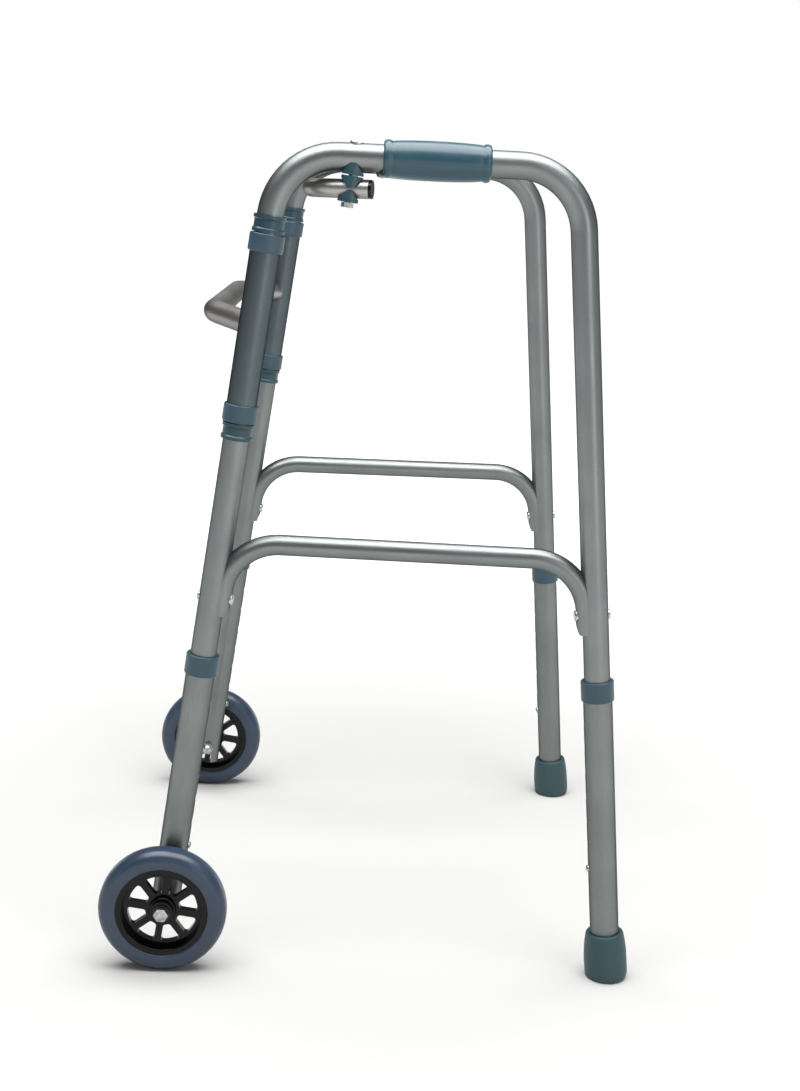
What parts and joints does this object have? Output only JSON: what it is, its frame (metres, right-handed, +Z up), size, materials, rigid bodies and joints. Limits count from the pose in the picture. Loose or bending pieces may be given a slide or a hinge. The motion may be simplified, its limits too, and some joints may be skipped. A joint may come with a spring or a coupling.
{
  "type": "walking frame",
  "caption": "Aluminium walking frame with linked side frames that step in turn, front wheels, rubber rear tips and height-adjustable legs.",
  "frame": {"origin": "bottom centre of the whole object's box, on the floor", "axes": "+Z up, -X towards the front that the user faces, -Y the user's left"},
  "size_m": [0.5309, 0.5412, 0.8109],
  "materials": {
    "anodised_tube": "satin anodised",
    "grip_vinyl": "soft moulded vinyl",
    "collar_plastic": "satin moulded",
    "zinc_steel": "bright zinc plate",
    "spring_steel": "blued strip",
    "tyre_rubber": "smooth solid tyre",
    "tip_rubber": "matt moulded rubber",
    "rim_plastic": "gloss moulded",
    "bush_plastic": "satin moulded"
  },
  "bodies": {
    "front_bow": {"bow_bar": "anodised_tube", "left_sleeve": "anodised_tube", "left_sleeve_bushes": "collar_plastic", "right_sleeve": "anodised_tube", "right_sleeve_bushes": "collar_plastic"},
    "link": {"link_bar": "anodised_tube", "link_end_caps": "rim_plastic", "left_bar_saddles": "collar_plastic", "right_bar_saddles": "collar_plastic"},
    "left_frame": {"left_side_tube": "anodised_tube", "left_hand_grip": "grip_vinyl", "left_side_brace": "anodised_tube", "left_brace_bolts": "zinc_steel", "left_brace_nuts": "zinc_steel", "left_stop_collars": "collar_plastic", "left_link_bolt": "zinc_steel", "left_link_nut": "zinc_steel", "left_rail_saddle": "collar_plastic", "left_front_button_spring": "spring_steel", "left_rear_button_spring": "spring_steel"},
    "left_front_button": {"left_front_button": "zinc_steel"},
    "left_rear_button": {"left_rear_button": "zinc_steel"},
    "left_front_leg": {"left_front_leg": "anodised_tube", "left_front_leg_collar": "collar_plastic", "left_axle_bolt": "zinc_steel", "left_axle_nut": "zinc_steel", "left_axle_spacer": "zinc_steel"},
    "left_rear_leg": {"left_rear_leg": "anodised_tube", "left_rear_leg_collar": "collar_plastic", "left_rubber_tip": "tip_rubber", "left_tip_washer": "zinc_steel"},
    "left_wheel": {"left_tyre": "tyre_rubber", "left_wheel_rim": "rim_plastic", "left_hub_bushes": "bush_plastic"},
    "right_frame": {"right_side_tube": "anodised_tube", "right_hand_grip": "grip_vinyl", "right_side_brace": "anodised_tube", "right_brace_bolts": "zinc_steel", "right_brace_nuts": "zinc_steel", "right_stop_collars": "collar_plastic", "right_link_bolt": "zinc_steel", "right_link_nut": "zinc_steel", "right_rail_saddle": "collar_plastic", "right_front_button_spring": "spring_steel", "right_rear_button_spring": "spring_steel"},
    "right_front_button": {"right_front_button": "zinc_steel"},
    "right_rear_button": {"right_rear_button": "zinc_steel"},
    "right_front_leg": {"right_front_leg": "anodised_tube", "right_front_leg_collar": "collar_plastic", "right_axle_bolt": "zinc_steel", "right_axle_nut": "zinc_steel", "right_axle_spacer": "zinc_steel"},
    "right_rear_leg": {"right_rear_leg": "anodised_tube", "right_rear_leg_collar": "collar_plastic", "right_rubber_tip": "tip_rubber", "right_tip_washer": "zinc_steel"},
    "right_wheel": {"right_tyre": "tyre_rubber", "right_wheel_rim": "rim_plastic", "right_hub_bushes": "bush_plastic"}
  },
  "joints": [
    {"name": "left_frame_swing", "type": "hinge", "parent": "front_bow", "child": "left_frame", "pos_m": [-0.12324, -0.2213, 0.63495], "axis": [0.1359, 0, 0.9907], "range_deg": [-12, 12]},
    {"name": "left_front_leg_slide", "type": "slide", "parent": "left_frame", "child": "left_front_leg", "axis": [-0.1359, 0, -0.9907], "range_m": [0, 0.1524]},
    {"name": "left_rear_leg_slide", "type": "slide", "parent": "left_frame", "child": "left_rear_leg", "axis": [0.0864, -0.0336, -0.9957], "range_m": [0, 0.1524]},
    {"name": "left_front_button_press", "type": "slide", "parent": "left_frame", "child": "left_front_button", "axis": [-0.9907, 0, 0.1359], "range_m": [0, 0.004], "stiffness_N_per_m": 1500, "springref_m": -0.002, "deforming": ["left_front_button_spring"]},
    {"name": "left_rear_button_press", "type": "slide", "parent": "left_frame", "child": "left_rear_button", "axis": [0.9963, 0.0029, 0.0864], "range_m": [0, 0.004], "stiffness_N_per_m": 1500, "springref_m": -0.002, "deforming": ["left_rear_button_spring"]},
    {"name": "left_wheel_spin", "type": "hinge", "parent": "left_front_leg", "child": "left_wheel", "pos_m": [-0.20162, -0.2521, 0.0635], "axis": [0, 1, 0], "continuous": true},
    {"name": "right_frame_swing", "type": "hinge", "parent": "front_bow", "child": "right_frame", "pos_m": [-0.12324, 0.2213, 0.63495], "axis": [0.1359, 0, 0.9907], "range_deg": [-12, 12]},
    {"name": "right_front_leg_slide", "type": "slide", "parent": "right_frame", "child": "right_front_leg", "axis": [-0.1359, 0, -0.9907], "range_m": [0, 0.1524]},
    {"name": "right_rear_leg_slide", "type": "slide", "parent": "right_frame", "child": "right_rear_leg", "axis": [0.0864, 0.0336, -0.9957], "range_m": [0, 0.1524]},
    {"name": "right_front_button_press", "type": "slide", "parent": "right_frame", "child": "right_front_button", "axis": [-0.9907, 0, 0.1359], "range_m": [0, 0.004], "stiffness_N_per_m": 1500, "springref_m": -0.002, "deforming": ["right_front_button_spring"]},
    {"name": "right_rear_button_press", "type": "slide", "parent": "right_frame", "child": "right_rear_button", "axis": [0.9963, -0.0029, 0.0864], "range_m": [0, 0.004], "stiffness_N_per_m": 1500, "springref_m": -0.002, "deforming": ["right_rear_button_spring"]},
    {"name": "right_wheel_spin", "type": "hinge", "parent": "right_front_leg", "child": "right_wheel", "pos_m": [-0.20162, 0.2521, 0.0635], "axis": [0, 1, 0], "continuous": true},
    {"name": "link_turn", "type": "hinge", "parent": "left_frame", "child": "link", "pos_m": [-0.037, -0.2213, 0.7654], "axis": [0.1359, 0, 0.9907], "range_deg": [-12, 12]}
  ],
  "couplings": [
    {"joint": "right_frame_swing", "follows": "left_frame_swing", "ratio": 1},
    {"joint": "link_turn", "follows": "left_frame_swing", "ratio": -1}
  ]
}
